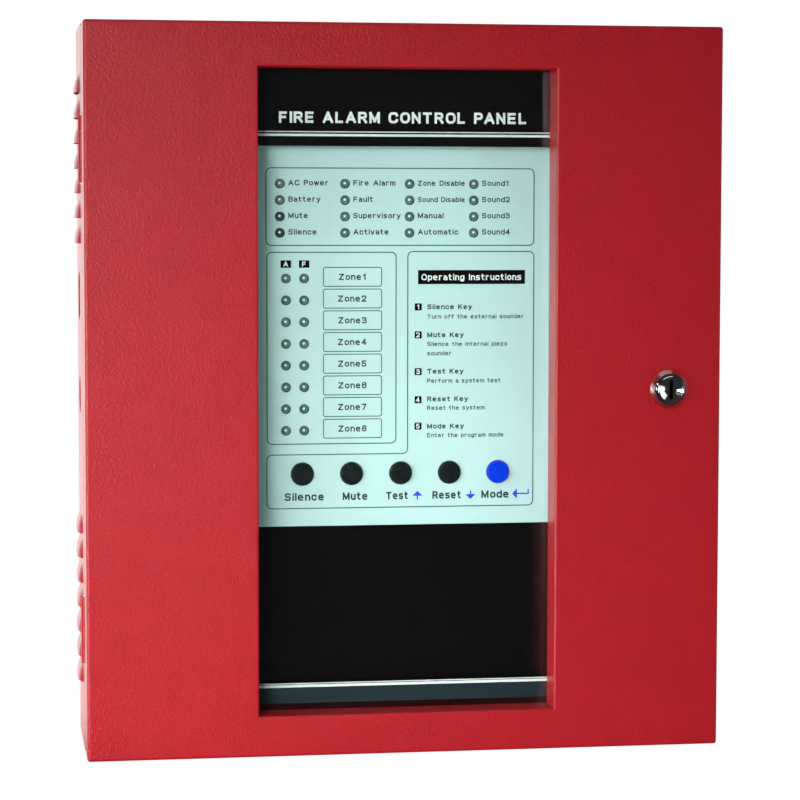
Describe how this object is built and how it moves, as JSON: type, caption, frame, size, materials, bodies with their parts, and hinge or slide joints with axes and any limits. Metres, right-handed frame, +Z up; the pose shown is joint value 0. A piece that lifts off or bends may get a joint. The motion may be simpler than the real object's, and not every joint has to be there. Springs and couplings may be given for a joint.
{
  "type": "fire alarm control panel",
  "caption": "Wall-mounted steel fire alarm control panel: hinged door with a recessed window and cam lock, lamp and key display, circuit boards, transformer and batteries inside.",
  "frame": {"origin": "centre of the back face, where the enclosure meets the wall", "axes": "+Z up, +X to the right as seen from the front, +Y into the wall, so the door faces -Y"},
  "size_m": [0.3298, 0.1, 0.37],
  "materials": {
    "red_powder": "glossy fine-textured powder coat",
    "black_plate": "satin black paint",
    "overlay_film": "printed polyester film, pale turquoise",
    "clear_pane": "clear acrylic, glossy",
    "lamp_lens": "diffused epoxy, unlit",
    "board_green": "solder mask over copper",
    "black_plastic": "moulded black",
    "key_black": "moulded black, semi-gloss",
    "key_blue": "moulded blue, glossy",
    "terminal_green": "moulded green",
    "relay_blue": "moulded blue",
    "mains_white": "moulded off-white",
    "chrome": "bright plated",
    "zinc": "zinc plated",
    "aluminium": "extruded",
    "can_sleeve": "shrunk sleeve",
    "fuse_glass": "clear",
    "brass": "tinned",
    "battery_case": "moulded dark grey",
    "lead_red": "insulation",
    "lead_black": "insulation",
    "lead_blue": "insulation",
    "ribbon_grey": "ribbon insulation",
    "core_steel": "varnished laminations",
    "winding_tape": "polyester tape"
  },
  "bodies": {
    "enclosure": {"battery_lead_black": "lead_black", "battery_lead_red": "lead_red", "battery_link": "lead_blue", "battery_lower": "battery_case", "battery_shelf": "zinc", "battery_straps": "zinc", "battery_tabs": "brass", "battery_upper": "battery_case", "board_standoffs": "brass", "box_side_left": "red_powder", "box_side_right": "red_powder", "box_wrap": "red_powder", "capacitors": "can_sleeve", "display_board": "board_green", "display_board_spacers": "brass", "display_overlay": "overlay_film", "display_plate": "black_plate", "display_rails": "zinc", "display_spacers": "zinc", "earth_nuts": "brass", "earth_stud": "brass", "fuse_clips": "brass", "fuses": "fuse_glass", "heatsink": "aluminium", "hinge_box_leaves": "red_powder", "hinge_pins": "zinc", "key_switches": "black_plastic", "logic_chips": "black_plastic", "m3_screws": "zinc", "m4_screws": "zinc", "main_board": "board_green", "mains_terminal_block": "mains_white", "piezo_sounder": "black_plastic", "regulators": "black_plastic", "relays": "relay_blue", "ribbon_cable": "ribbon_grey", "ribbon_headers": "black_plastic", "status_lamps": "lamp_lens", "terminal_blocks": "terminal_green", "terminal_screws": "zinc", "transformer_core": "core_steel", "transformer_frame": "zinc", "transformer_winding": "winding_tape", "zone_lamps": "lamp_lens"},
    "door": {"door_panel": "red_powder", "hinge_door_leaves": "red_powder", "window_pane": "clear_pane", "window_studs": "zinc", "window_retainers": "zinc", "window_nuts": "zinc", "lock_body": "chrome", "lock_nut": "zinc"},
    "lock": {"lock_plug": "chrome", "lock_cam": "zinc", "cam_screw": "zinc"},
    "silence_key": {"key_silence": "key_black"},
    "mute_key": {"key_mute": "key_black"},
    "test_key": {"key_test": "key_black"},
    "reset_key": {"key_reset": "key_black"},
    "mode_key": {"key_mode": "key_blue"}
  },
  "joints": [
    {"name": "door_hinge", "type": "hinge", "parent": "enclosure", "child": "door", "pos_m": [-0.1615, -0.066, 0], "axis": [0, 0, -1], "range_deg": [0, 115]},
    {"name": "lock_turn", "type": "hinge", "parent": "door", "child": "lock", "pos_m": [0.1355, -0.095, 0], "axis": [0, -1, 0], "range_deg": [0, 90]},
    {"name": "silence_press", "type": "slide", "parent": "enclosure", "child": "silence_key", "axis": [0, 1, 0], "range_m": [0, 0.001], "stiffness_N_per_m": 1000, "springref_m": -0.0006},
    {"name": "mute_press", "type": "slide", "parent": "enclosure", "child": "mute_key", "axis": [0, 1, 0], "range_m": [0, 0.001], "stiffness_N_per_m": 1000, "springref_m": -0.0006},
    {"name": "test_press", "type": "slide", "parent": "enclosure", "child": "test_key", "axis": [0, 1, 0], "range_m": [0, 0.001], "stiffness_N_per_m": 1000, "springref_m": -0.0006},
    {"name": "reset_press", "type": "slide", "parent": "enclosure", "child": "reset_key", "axis": [0, 1, 0], "range_m": [0, 0.001], "stiffness_N_per_m": 1000, "springref_m": -0.0006},
    {"name": "mode_press", "type": "slide", "parent": "enclosure", "child": "mode_key", "axis": [0, 1, 0], "range_m": [0, 0.001], "stiffness_N_per_m": 1000, "springref_m": -0.0006}
  ]
}
